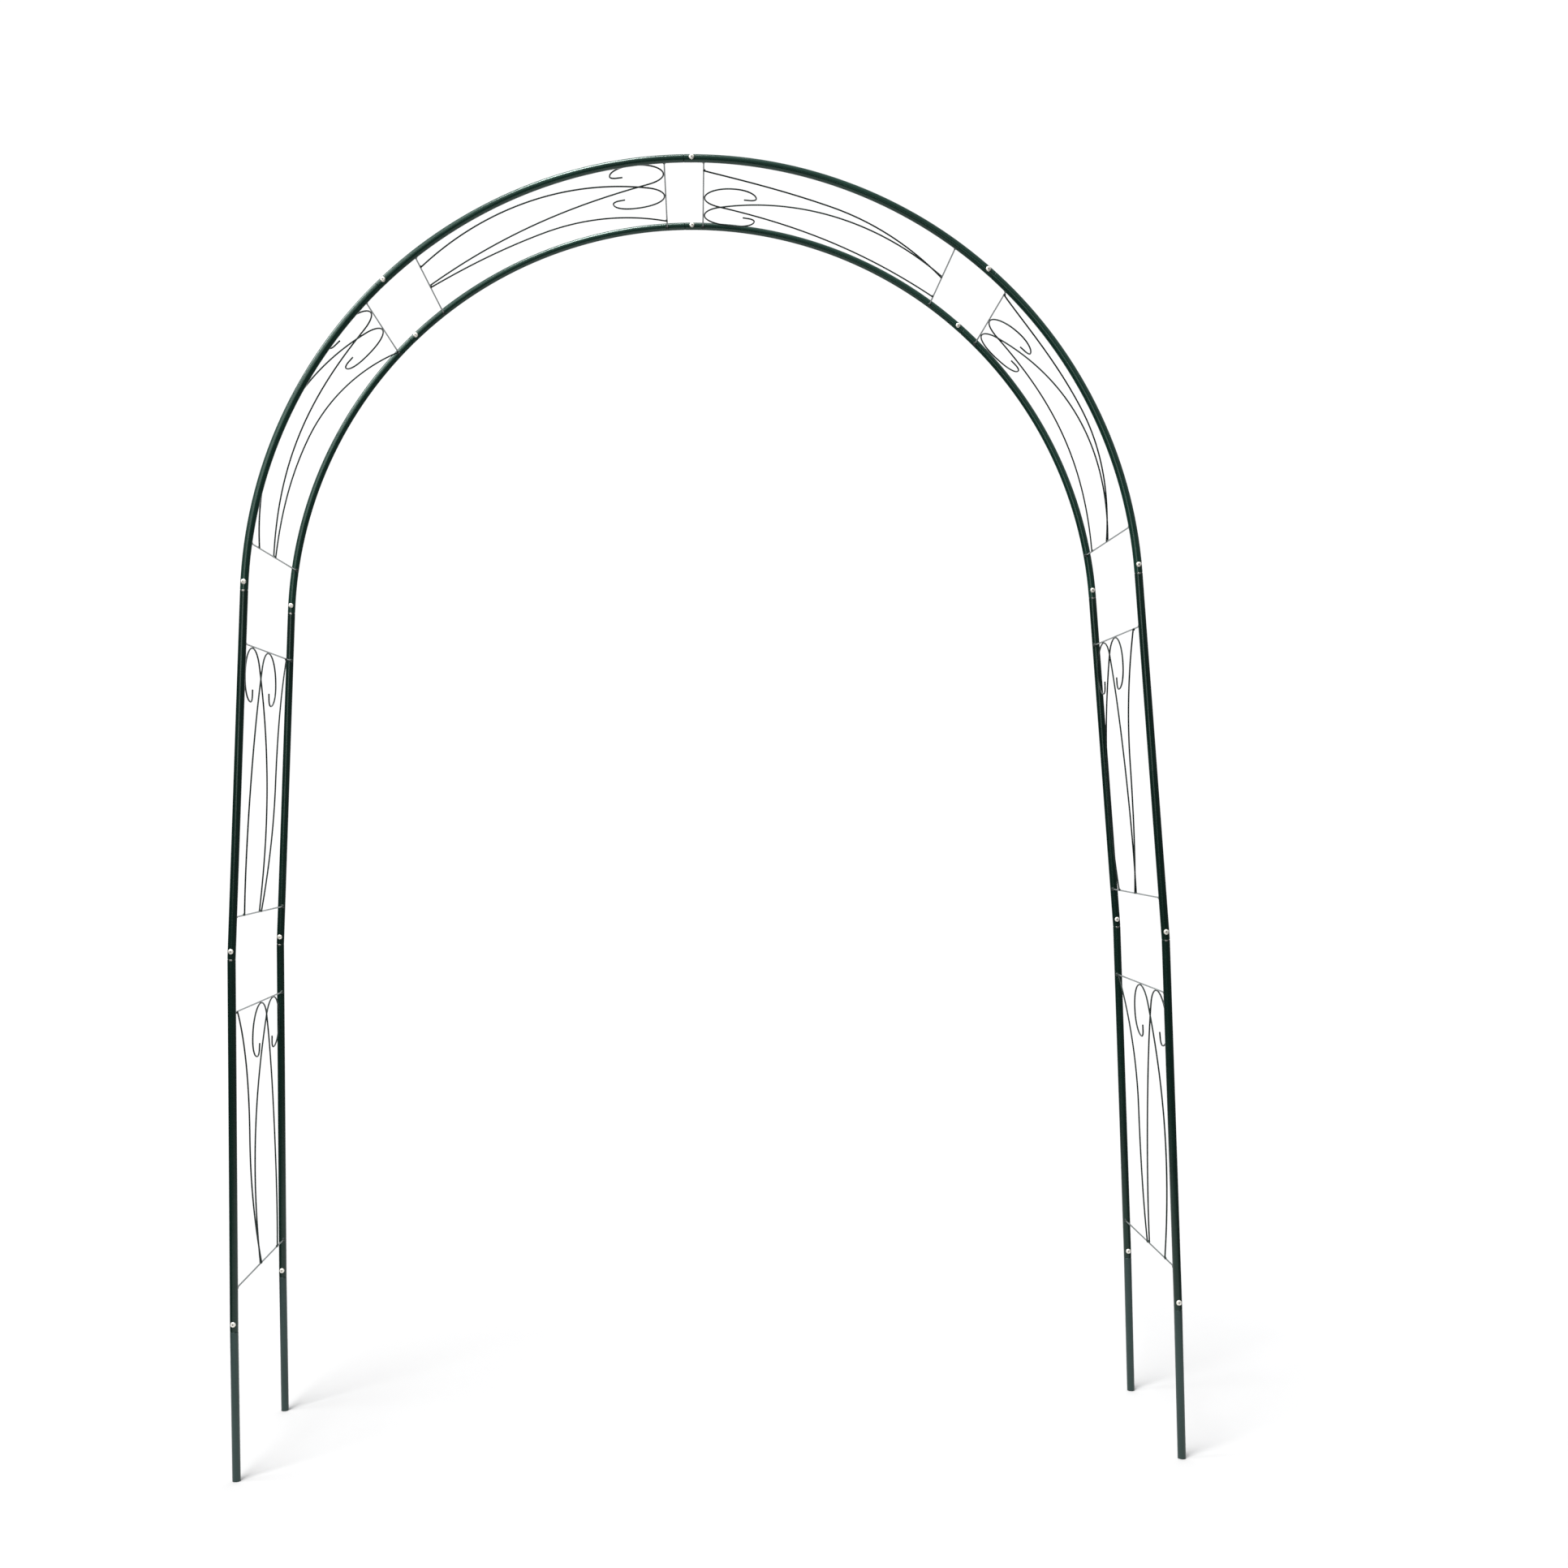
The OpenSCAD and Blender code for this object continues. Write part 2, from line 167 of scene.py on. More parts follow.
def panel_point(panel, inward, across, up):
    """A point of the left half, from its place in a panel's own frame."""
    slope = slope_at(panel, up)
    if panel in STRAIGHTS:
        base = STRAIGHTS[panel][0] + up * leaning(slope)
    else:
        base = ARCH_CENTRE - ARCH_RADIUS * inward_at(slope)
    return base + inward * inward_at(slope) + across * THROUGH


def from_rung(panel, up):
    """Distance up from a panel's lower joint, of a place given from its lower rung."""
    return up + (LEG_RUNG_START if panel in STRAIGHTS else ARCH_RUNG_START)


def on_side(side, vector):
    """A place or a direction of the left half, or the same one of the right half."""
    return vector if side == "left" else Vector((-vector.x, -vector.y, vector.z))


# ---- Mesh making -----------------------------------------------------------------------

# How far a shape's box may be from the box of the CAD nodes that it stands for
PLACE_TOLERANCE = 0.0015


class Shape:
    """Points, faces, and wear and painted light, gathered for one mesh.

    On paint, 0 is a sound finish, 1 an edge that rubs, and over 2 a painted glint, where paint is
    taken through to bare steel. On zinc, the same values are painted shade, darkest in the
    recesses.
    """

    def __init__(self):
        self.points = []
        self.faces = []
        self.wear_and_painted_light = []

    def ring(self, points, wear_and_painted_light=0.0):
        """Adds a ring of points, and gives its first index."""
        first = len(self.points)
        self.points.extend(points)
        self.wear_and_painted_light.extend([wear_and_painted_light] * len(points))
        return first

    def band(self, lower, upper, sides):
        """Joins two rings by a band of faces."""
        for k in range(sides):
            following = (k + 1) % sides
            self.faces.append((lower + k, lower + following, upper + following, upper + k))

    def bands(self, firsts, sides):
        """Joins rings in a row."""
        for lower, upper in zip(firsts, firsts[1:]):
            self.band(lower, upper, sides)

    def caps(self, firsts, sides):
        """Closes the two ends of a row of rings."""
        self.faces.append(tuple(firsts[0] + k for k in reversed(range(sides))))
        self.faces.append(tuple(firsts[-1] + k for k in range(sides)))

    def rings(self, rings, wears_and_painted_light, closed=False):
        """Adds rings joined in a row; their ends are capped, or joined to each other if closed."""
        sides = len(rings[0])
        firsts = [self.ring(ring, wear_and_painted_light) for ring, wear_and_painted_light in zip(rings, wears_and_painted_light)]
        self.bands(firsts, sides)
        if closed:
            self.band(firsts[-1], firsts[0], sides)
        else:
            self.caps(firsts, sides)


def turns(sides):
    """Angles at even steps round a circle."""
    return [2 * math.pi * k / sides for k in range(sides)]


def circle(centre, radius, first_way, second_way, sides):
    """Points round a circle in the plane of two unit vectors."""
    return [
        centre + radius * (math.cos(turn) * first_way + math.sin(turn) * second_way)
        for turn in turns(sides)
    ]


def about_z(radius, turn, height):
    """A point from its radius, turn and height about the Z axis."""
    return Vector((radius * math.cos(turn), radius * math.sin(turn), height))


def level_circle(place, radius, height, sides):
    """Points round a circle about the Z axis of a frame."""
    return [place @ about_z(radius, turn, height) for turn in turns(sides)]


def new_mesh(name, shape, material):
    mesh = bpy.data.meshes.new(name)
    mesh.from_pydata([tuple(p) for p in shape.points], [], shape.faces)
    mesh.materials.append(material)
    return mesh


def new_object(name, data):
    """Puts a new object into the scene."""
    made = bpy.data.objects.new(name, data)
    bpy.context.scene.collection.objects.link(made)
    return made


def add_piece(name, shape, material, slot, *nodes, sharp=35):
    """Makes a smooth-shaded piece, creased where faces meet at more than `sharp` degrees."""
    mesh = new_mesh(name, shape, material)
    # Wear, with painted light: glints on the paint and painted shade on the zinc
    wear_and_painted_light = mesh.attributes.new("wear_and_painted_light", "FLOAT", "POINT")
    wear_and_painted_light.data.foreach_set("value", shape.wear_and_painted_light)
    mesh.polygons.foreach_set("use_smooth", [True] * len(mesh.polygons))
    mesh.set_sharp_from_angle(angle=math.radians(sharp))
    mesh.validate()
    piece = new_object(name, mesh)
    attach(piece, "root")
    if nodes:
        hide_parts(*nodes)
        check_place(shape, nodes)


def check_place(shape, nodes):
    """Stops the script if a shape isn't where the CAD nodes are that it stands for."""
    for axis in range(3):
        low = min(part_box(node)[0][axis] for node in nodes)
        high = max(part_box(node)[1][axis] for node in nodes)
        values = [p[axis] for p in shape.points]
        first, last = min(values), max(values)
        if abs(first - low) > PLACE_TOLERANCE or abs(last - high) > PLACE_TOLERANCE:
            reach = f"{first} to {last}, not {low} to {high}"
            raise ValueError(f"{nodes[0]} is off along axis {axis}: {reach}")


# ---- Materials -------------------------------------------------------------------------

BARE_STEEL = (0.30, 0.29, 0.27)
SHEEN_TINT = (0.80, 1.0, 0.91, 1)
ZINC_TINTS = (0.84, 0.81, 0.72), (0.92, 0.90, 0.84)
# Painted shade: zinc darkens towards this in the head's recess, under the head, in the nut and on
# the shank
PAINTED_SHADE_ZINC = (0.10, 0.10, 0.09)

# Scales of the noises, in features to a metre
DRIFT_SCALE = 7.0
DUST_SCALE = 60.0
FLECK_SCALE = 520.0
PEEL_SCALE = 700.0
GRAIN_SCALE = 3200.0
CLOUD_SCALE = 420.0
MARK_SCALE = 5200.0
# Ranges that a noise's values are taken over, for strong and for mild contrast
STRONG = (0.35, 0.65)
MILD = (0.3, 0.7)
# Paint is chipped off where flecks and wear together come to this; painted glint spots go past it
CHIPPED = (0.78, 0.84)
DUSTY = (0.55, 0.80)
MOST_DUST = 0.06
# How far dust takes the paint's colour towards bare steel's
DUST_PALENESS = 0.2
# How much smoother and rougher a paint is in places than its own roughness
SMOOTHER, ROUGHER = 0.05, 0.09
STEEL_ROUGHNESS = 0.42
# The fine grain's part in the orange peel, and how strongly that shows
GRAIN_PART = 0.12
PEEL_STRENGTH = 0.6
# Of zinc, unshaded and then at full painted shade, or at the bottom and then at the top of a mark
ZINC_METALLIC = (0.6, 0.3)
ZINC_ROUGHNESS = (0.34, 0.50)
MARK_STRENGTH = 0.35
MARK_RELIEF = 0.00002


class Nodes:
    """The node tree of a material or a world, with short ways to add nodes."""

    def __init__(self, owner):
        owner.use_nodes = True
        self.tree = owner.node_tree
        self.tree.nodes.clear()

    def add(self, kind, inputs=None, **settings):
        """Adds a node. An input is set to a value, or linked to another node's socket."""
        node = self.tree.nodes.new(kind)
        for key, value in settings.items():
            setattr(node, key, value)
        for key, value in (inputs or {}).items():
            if isinstance(value, bpy.types.NodeSocket):
                self.tree.links.new(value, node.inputs[key])
            else:
                node.inputs[key].default_value = value
        return node

    def place(self, kind="Object"):
        """One of the texture coordinates."""
        return self.add("ShaderNodeTexCoord").outputs[kind]

    def axes(self, place):
        """The X, Y and Z of a place or a direction."""
        return self.add("ShaderNodeSeparateXYZ", {0: place}).outputs

    def spread(self, value, low, high, to_low=0.0, to_high=1.0, **settings):
        """Maps a value's range from low to high onto another, and holds it there."""
        inputs = {"Value": value, "From Min": low, "From Max": high}
        inputs.update({"To Min": to_low, "To Max": to_high})
        return self.add("ShaderNodeMapRange", inputs, clamp=True, **settings).outputs["Result"]

    def maths(self, operation, first, second=0.0):
        return self.add("ShaderNodeMath", {0: first, 1: second}, operation=operation).outputs[0]

    def blend(self, factor, first, second):
        """Mixes two shader nodes."""
        inputs = {0: factor, 1: first.outputs[0], 2: second.outputs[0]}
        return self.add("ShaderNodeMixShader", inputs).outputs[0]


class Shader(Nodes):
    """A material's node tree, with the parts that the looks are made of."""

    def __init__(self, name):
        self.material = bpy.data.materials.new(name)
        super().__init__(self.material)

    def noise(self, place, scale, detail=3.0, roughness=0.5):
        inputs = {"Vector": place, "Scale": scale, "Detail": detail, "Roughness": roughness}
        return self.add("ShaderNodeTexNoise", inputs).outputs["Fac"]

    # Reads the wear, which also carries the painted glints and the zinc's painted shade
    def wear_and_painted_light(self):
        return self.add("ShaderNodeAttribute", attribute_name="wear_and_painted_light").outputs["Fac"]

    def mix_colours(self, factor, first, second):
        """Mixes two colours, each [red, green, blue] or another node's socket."""
        first, second = (
            colour if isinstance(colour, bpy.types.NodeSocket) else (*colour, 1)
            for colour in (first, second)
        )
        inputs = {0: factor, 6: first, 7: second}
        return self.add("ShaderNodeMix", inputs, data_type="RGBA").outputs[2]

    def mix_values(self, factor, first, second):
        inputs = {0: factor, 2: first, 3: second}
        return self.add("ShaderNodeMix", inputs, data_type="FLOAT").outputs[0]

    def bump(self, height, strength, distance):
        inputs = {"Height": height, "Strength": strength, "Distance": distance}
        return self.add("ShaderNodeBump", inputs).outputs["Normal"]

    def finish(self, **inputs):
        """Ends the tree in a Principled shader."""
        settings = {key.replace("_", " "): value for key, value in inputs.items()}
        surface = self.add("ShaderNodeBsdfPrincipled", settings)
        self.add("ShaderNodeOutputMaterial", {"Surface": surface.outputs["BSDF"]})
        return self.material


def powder_coat(name, dark, light, roughness, chipping=0.16, relief=0.000012, specular=0.5):
    """Dark paint with an orange-peel skin, slow drift, dust, chips to steel where it rubs, and
    painted glints of bare steel.
    """
    shader = Shader(name)
    place = shader.place()
    drift = shader.spread(shader.noise(place, DRIFT_SCALE, 4.0), *STRONG)
    peel = shader.noise(place, PEEL_SCALE, 2.0)
    grain = shader.noise(place, GRAIN_SCALE, 2.0)
    fleck = shader.noise(place, FLECK_SCALE, 4.0, 0.65)
    # Flecks and wear, with the painted glint spots, mark where the paint goes through to steel
    chips_and_glints = shader.maths("ADD", fleck, shader.maths("MULTIPLY", shader.wear_and_painted_light(), chipping))
    bare = shader.spread(chips_and_glints, *CHIPPED)

    dust = shader.spread(shader.noise(place, DUST_SCALE, 5.0, 0.7), *DUSTY, 0.0, MOST_DUST)
    dust_colour = [(1 - DUST_PALENESS) * a + DUST_PALENESS * b for a, b in zip(light, BARE_STEEL)]
    paint = shader.mix_colours(dust, shader.mix_colours(drift, dark, light), dust_colour)
    gloss = shader.spread(grain, *MILD, roughness - SMOOTHER, roughness + ROUGHER)
    height = shader.maths("ADD", peel, shader.maths("MULTIPLY", grain, GRAIN_PART))
    return shader.finish(
        Base_Color=shader.mix_colours(bare, paint, BARE_STEEL),
        Metallic=bare,
        Roughness=shader.mix_values(bare, gloss, STEEL_ROUGHNESS),
        Specular_IOR_Level=specular,
        Specular_Tint=SHEEN_TINT,
        Normal=shader.bump(height, PEEL_STRENGTH, relief),
    )


def bright_zinc(name):
    """Zinc plating: pale and slightly clouded, with fine turning marks, and painted shade in the
    recesses.
    """
    shader = Shader(name)
    place = shader.place()
    cloud = shader.spread(shader.noise(place, CLOUD_SCALE, 4.0), *STRONG)
    marks = shader.noise(place, MARK_SCALE, 3.0, 0.7)
    wear_and_painted_light = shader.wear_and_painted_light()
    tint = shader.mix_colours(cloud, *ZINC_TINTS)
    return shader.finish(
        # Painted shade: darker and less metallic in the recesses
        Base_Color=shader.mix_colours(wear_and_painted_light, tint, PAINTED_SHADE_ZINC),
        Metallic=shader.spread(wear_and_painted_light, 0.0, 1.0, *ZINC_METALLIC),
        Roughness=shader.spread(marks, *MILD, *ZINC_ROUGHNESS),
        Normal=shader.bump(marks, MARK_STRENGTH, MARK_RELIEF),
    )


# Each paint has its darkest and its palest colour, then its roughness
# The legs and the arch take darker and lighter copies of one paint: painted shade and painted
# light
LEG_PAINT_PAINTED_SHADE = powder_coat("tube_paint", (0.0018, 0.0098, 0.0068), (0.0030, 0.0150, 0.0104), 0.21)
ARCH_PAINT_PAINTED_LIGHT = powder_coat("arch_paint_painted_light", (0.0036, 0.0225, 0.0150), (0.0056, 0.0315, 0.0210), 0.23)
STAKE_PAINT = powder_coat(
    "stake_paint", (0.0150, 0.0280, 0.0275), (0.0205, 0.0375, 0.0365), 0.30, relief=0.00002
)
WIRE_PAINT = powder_coat(
    "wire_paint", (0.0035, 0.0080, 0.0068), (0.0060, 0.0125, 0.0105), 0.42, specular=0.25
)
# The rungs take a lighter copy of the wire paint: painted light, for the light on their tops
RUNG_PAINT_PAINTED_LIGHT = powder_coat("rung_paint_painted_light", (0.0110, 0.0170, 0.0160), (0.0190, 0.0270, 0.0250), 0.22)
WELD_PAINT = powder_coat(
    "weld_paint",
    (0.0045, 0.0080, 0.0070),
    (0.0100, 0.0150, 0.0130),
    0.45,
    chipping=0.20,
    relief=0.0001,
)
ZINC = bright_zinc("zinc")

# ---- Tubes -----------------------------------------------------------------------------

TUBE_SIDES = 40
# How far a tube's edges are broken
EDGE = 0.0003
RING_STEP = 0.020
# A swaged shoulder rounds over, falls, and rounds into the spigot: parts of its length and depth
SWAGE = [(0.0, 0.0), (0.4, 0.01), (0.6, 0.06), (0.72, 0.2), (0.82, 0.5), (0.9, 0.8), (1.0, 1.0)]

# Each end is rubbed this far along
RUB_LENGTH = 0.003
EDGE_WEAR = 1.0
SHOULDER_WEAR = 0.7
TIP_WEAR = 0.6
FADED_WEAR = 0.35
# Wear that takes the paint through to bare steel, for a painted glint
GLINT_SPOT = 2.4
# A painted glint spot, bare steel through the paint, reaches this many sides of the tube each way
GLINT_SPOT_HALF = 2


def tube_ring(side, panel, across, along, radius):
    """A ring of a tube; beyond the panel it lies along what the spigot runs on into."""
    if along >= LENGTHS[panel] and panel in NEXT:
        panel, along = NEXT[panel], along - LENGTHS[panel]
    centre = panel_point(panel, 0, across, along)
    points = circle(centre, radius, inward_at(slope_at(panel, along)), THROUGH, TUBE_SIDES)
    return [on_side(side, p) for p in points]


def stretch(start, end, radius):
    """Sections [along, radius, wear] at even steps between two places, both left out."""
    count = max(1, math.ceil(abs(end - start) / RING_STEP))
    return [(start + (end - start) * k / count, radius, 0.0) for k in range(1, count)]


def socket_end(along, way):
    """Outer sections at a plain cut end; `way` is 1 if the tube runs up from it and -1 if down."""
    return [
        (along, TUBE_R - EDGE, EDGE_WEAR),
        (along + way * EDGE, TUBE_R, EDGE_WEAR),
        (along + way * RUB_LENGTH, TUBE_R, FADED_WEAR),
    ]


def spigot_end(length):
    """Outer sections over the shoulder and the spigot, then the same back inside."""
    shoulder = length - SHOULDER_LENGTH
    depth = TUBE_R - SPIGOT_R
    tip = length + SPIGOT_LENGTH
    return [
        (shoulder - RUB_LENGTH, TUBE_R, FADED_WEAR),
        *((shoulder + SHOULDER_LENGTH * a, TUBE_R - depth * b, SHOULDER_WEAR) for a, b in SWAGE),
        *stretch(length, tip, SPIGOT_R),
        (tip - EDGE, SPIGOT_R, TIP_WEAR),
        (tip, SPIGOT_R - EDGE, TIP_WEAR),
        (tip, SPIGOT_BORE_R, 0.0),
        *stretch(tip, length, SPIGOT_BORE_R),
        (length, SPIGOT_BORE_R, 0.0),
        (shoulder, BORE_R, 0.0),
    ]


def tube(side, panel, hoop, closing=False):
    """A hollow tube: outer sections from its lower end up, then inner ones back down.

    It ends above in a spigot, or in a second socket if it is the one that closes the arch.
    """
    length = LENGTHS[panel]
    sections = socket_end(0, 1)
    if closing:
        sections += stretch(RUB_LENGTH, length - RUB_LENGTH, TUBE_R)
        sections += reversed(socket_end(length, -1))
        sections.append((length, BORE_R, 0.0))
        inner_top = length
    else:
        inner_top = length - SHOULDER_LENGTH
        sections += stretch(RUB_LENGTH, inner_top - RUB_LENGTH, TUBE_R)
        sections += spigot_end(length)
    sections += stretch(inner_top, 0, BORE_R)
    sections.append((0, BORE_R, 0.0))

    # Half a turn about Z brings the left half's back hoop to the front of the right half
    across = HOOPS[hoop] if side == "left" else -HOOPS[hoop]
    shape = Shape()
    shape.rings(
        [tube_ring(side, panel, across, along, radius) for along, radius, _ in sections],
        [wear_and_painted_light for _, _, wear_and_painted_light in sections],
        closed=True,
    )
    # The legs' shoulders get a painted glint at the front, below the bolt
    if panel in ("lower_leg", "upper_leg"):
        paint_glint_spot(shape, side, sections)
    return shape


def paint_glint_spot(shape, side, sections):
    """Paints a glint: bare steel through the paint at the front of a tube's shoulder, below the
    bolt.
    """
    front = TUBE_SIDES * (3 if side == "left" else 1) // 4
    for i, (_, _, wear_and_painted_light) in enumerate(sections):
        if wear_and_painted_light == SHOULDER_WEAR:
            for k in range(front - GLINT_SPOT_HALF, front + GLINT_SPOT_HALF + 1):
                shape.wear_and_painted_light[i * TUBE_SIDES + k % TUBE_SIDES] = GLINT_SPOT


def add_tubes():
    for side in SIDES:
        for hoop in HOOPS:
            node = f"{side}_{hoop}_stake"
            shape = tube(side, "stake", hoop)
            add_piece(f"{node}_finished", shape, STAKE_PAINT, "stake_paint", node)
            for panel in PANELS:
                closing = side == "right" and panel == "upper_arch"
                node = f"{side}_{panel}_{hoop}_tube"
                shape = tube(side, panel, hoop, closing)
                # The arch's lighter, greener copy is painted light from above; the legs' darker
                # one is painted shade
                paint = LEG_PAINT_PAINTED_SHADE if panel in STRAIGHTS else ARCH_PAINT_PAINTED_LIGHT
                add_piece(f"{node}_finished", shape, paint, "tube_paint", node)


# ---- Bent wires ------------------------------------------------------------------------
# A wire is a list of bends, each [radius, turn] or, where it is straight, [length, 0]. A
# place on it is [across, up, slope], from the tube on the bow wire's side and the lower rung.

WIRE_SIDES = 14
BEND_STEP = math.radians(6)
WIRE_STEP = 0.012
# A wire's cut end lies just inside its rung, under the weld
WIRE_END = 0.0010
# A bar's cut end and the length of its chamfer, as parts of the bar's radius
CUT_END = 0.8
CUT_CHAMFER = 0.15
# A wire is rubbed at its first end, over this part of its rings
HOOK_WEAR = 0.5
HOOK_PART = 0.01


def bend_to(start, slope, end):
    """The one bend that leads from a point and a slope to another point."""
    chord = Vector(end) - Vector(start)
    turn = 2 * (math.atan2(chord.y, chord.x) - slope)
    return chord.length / (2 * math.sin(abs(turn) / 2)), turn


def after(place, bend, part=1.0):
    """Where a bend that starts at a place has got to after a part of it."""
    across, up, slope = place
    size, turn = bend
    if turn == 0:
        return across + size * part * math.cos(slope), up + size * part * math.sin(slope), slope
    radius = math.copysign(size, turn)
    turned = slope + turn * part
    return (
        across + radius * (math.sin(turned) - math.sin(slope)),
        up + radius * (math.cos(slope) - math.cos(turned)),
        turned,
    )


def trace(place, bends):
    """Points [across, up] along a wire."""
    points = []
    for bend in bends:
        size, turn = bend
        length = size if turn == 0 else size * abs(turn)
        steps = max(math.ceil(abs(turn) / BEND_STEP), math.ceil(length / WIRE_STEP))
        points += [after(place, bend, k / steps)[:2] for k in range(steps)]
        place = after(place, bend)
    return [*points, place[:2]]


def scroll_line():
    """From the end of the hook, over the crest, and down the stem to the lower rung."""
    crest = (SCROLL_CENTRE - CREST_OFFSET, RUNG_SPACING - CREST_DROP, 0.0)
    across, up, slope = after(crest, (CREST_BEND, -CREST_TURN))
    stem_foot = (SCROLL_CENTRE + STEM_FOOT_OFFSET, WIRE_END)
    stem = trace((across, up, slope), [bend_to((across, up), slope, stem_foot)])
    right_angle = math.pi / 2
    hook = trace(
        (across, up, slope + math.pi),
        [
            (CREST_BEND, CREST_TURN + right_angle),
            (OUTER_STRAIGHT, 0),
            (OUTER_BEND, right_angle),
            (HOOK_BEND, HOOK_TURN),
            (HOOK_STRAIGHT, 0),
        ],
    )
    return [*reversed(hook), *stem[1:]]


def bow_line(panel):
    """From the upper rung, in to the middle, and on down to the lower rung."""
    top = (BOW_TOP[panel], RUNG_SPACING - WIRE_END)
    middle = (BOW_MIDDLE, RUNG_SPACING / 2)
    chord = Vector(middle) - Vector(top)
    slope = 2 * math.atan2(chord.y, chord.x) - BOW_MIDDLE_SLOPE
    bends = [
        bend_to(top, slope, middle),
        bend_to(middle, BOW_MIDDLE_SLOPE, (BOW_FOOT, WIRE_END)),
    ]
    return trace((*top, slope), bends)


def mirrored(line):
    return [(2 * SCROLL_CENTRE - across, up) for across, up in line]


def bulge(panel, up):
    """How far a panel's wires lie outward of their plane at a height above the lower rung."""
    rise = up / (RUNG_SPACING - CREST_DROP)
    return WIRE_BULGE[panel] * max(0.0, math.sin(math.pi * rise))


def wire_point(panel, inset, across, up):
    """A point of a wire: across from the tube on the bow wire's side, up from the lower rung."""
    way = 1 if panel == "lower_leg" else -1
    inward = inset - bulge(panel, up)
    return panel_point(panel, inward, way * (across - HOOP_Y), from_rung(panel, up))


def ways_at(side, panel, up):
    """Unit vectors inward and up along a panel's tubes, at a height above the lower rung."""
    slope = slope_at(panel, from_rung(panel, up))
    return on_side(side, inward_at(slope)), on_side(side, leaning(slope))


def bar(shape, centres, sideways, radius, sides, wear_at):
    """Adds a round bar along a line, its ends cut off square with a small chamfer."""
    last = len(centres) - 1
    rings = []
    for i, centre in enumerate(centres):
        along = (centres[min(i + 1, last)] - centres[max(i - 1, 0)]).normalized()
        beside = sideways[i].cross(along).normalized()
        ways = (along.cross(beside), beside)
        if 0 < i < last:
            rings.append(circle(centre, radius, *ways, sides))
            continue
        into = 1 if i == 0 else -1
        chamfer = [
            circle(centre, radius * CUT_END, *ways, sides),
            circle(centre + into * along * radius * CUT_CHAMFER, radius, *ways, sides),
        ]
        rings += chamfer[::into]
    shape.rings(rings, [wear_at(k / (len(rings) - 1)) for k in range(len(rings))])


def end_wear(part):
    """Wear of a wire at a part of its way along."""
    return HOOK_WEAR if part < HOOK_PART else 0.0


def wire(side, panel, line, inset):
    """A wire along a line [across, up], at an inset from the tubes' axes."""
    centres = [on_side(side, wire_point(panel, inset, *point)) for point in line]
    sideways = [ways_at(side, panel, up)[0] for _, up in line]
    shape = Shape()
    bar(shape, centres, sideways, WIRE_R, WIRE_SIDES, end_wear)
    return shape


def add_wires():
    scroll = scroll_line()
    for side in SIDES:
        for panel in PANELS:
            lines = {
                "bow_wire": (bow_line(panel), RUNG_INSET + WIRE_OFFSET),
                "inner_scroll": (scroll, RUNG_INSET + WIRE_OFFSET),
                "outer_scroll": (mirrored(scroll), RUNG_INSET - WIRE_OFFSET),
            }
            for name, (line, inset) in lines.items():
                node = f"{side}_{panel}_{name}"
                shape = wire(side, panel, line, inset)
                add_piece(f"{node}_finished", shape, WIRE_PAINT, "wire_paint", node)


# ---- Rungs and welds -------------------------------------------------------------------

RUNG_SIDES = 20
RUNG_STEPS = 24
RUNG_WEAR = 0.15
# A rung ends this far inside the tube's wall
RUNG_SINK = 0.0004
RUNG_END = HOOP_Y - math.sqrt(TUBE_R**2 - RUNG_INSET**2)
RUNG_HEIGHTS = (0, RUNG_SPACING)

# A lump of weld where wires meet a rung, with its three radii: across, inward and up
CREST_LUMP = (0.0032, 0.0016, 0.0014)
FOOT_LUMP = (0.0030, 0.0024, 0.0026)
BOW_FOOT_LUMP = (0.0032, 0.0024, 0.0026)
# How far a lump's middle is from the rung's, up or down and inward or outward
LUMP_RISE = 0.0012
LUMP_INSET = 0.0008
BOW_TOP_INSET = 0.0007
# A crest's lump lies at this part of the way from the rung to the wires
CREST_PART = 0.6
LUMP_SIDES = 14
LUMP_LEVELS = 9
LUMP_WEAR = 0.25
# How uneven a lump is, as a part of its size, and how fast its noise changes over it
LUMP_UNEVEN = 0.16
LUMP_GRAIN = 2.2

# The fillet of weld round a rung's end: [height off the tube's wall, radius]
COLLAR = [
    (-0.0012, 0.0040),
    (0.0, 0.0038),
    (0.0006, 0.0033),
    (0.0014, 0.0026),
    (0.0024, 0.0020),
    (0.0032, 0.0016),
    (0.0034, 0.0012),
]
COLLAR_SIDES = 20
COLLAR_WEAR = 0.3
COLLAR_UNEVEN = 0.22
COLLAR_GRAIN = 1.7
# The collar's noise changes this fast with height, as against with a turn about the rung
COLLAR_GRAIN_RISE = 300

random_draws = random.Random(7)


def rung(shape, side, panel, up):
    end = RUNG_END + RUNG_SINK
    centres = []
    for k in range(RUNG_STEPS + 1):
        across = -end + 2 * end * k / RUNG_STEPS
        centre = panel_point(panel, RUNG_INSET, across, from_rung(panel, up))
        centres.append(on_side(side, centre))
    inward, _ = ways_at(side, panel, up)
    bar(shape, centres, [inward] * len(centres), RUNG_R, RUNG_SIDES, lambda part: RUNG_WEAR)


def noise_place():
    """A random place in the noise."""
    return Vector([random_draws.uniform(0, 100) for _ in range(3)])


def lump(shape, centre, ways, radii):
    """A lump of weld: an ellipsoid on three unit vectors, made uneven by noise."""
    seed = noise_place()
    rings = []
    for level in range(1, LUMP_LEVELS):
        height = math.pi * level / LUMP_LEVELS
        ring = []
        for turn in turns(LUMP_SIDES):
            unit = about_z(math.sin(height), turn, math.cos(height))
            size = 1 + LUMP_UNEVEN * noise.noise(LUMP_GRAIN * unit + seed)
            out = sum((unit[i] * radii[i] * ways[i] for i in range(3)), Vector())
            ring.append(centre + size * out)
        rings.append(ring)
    shape.rings(rings, [LUMP_WEAR] * len(rings))


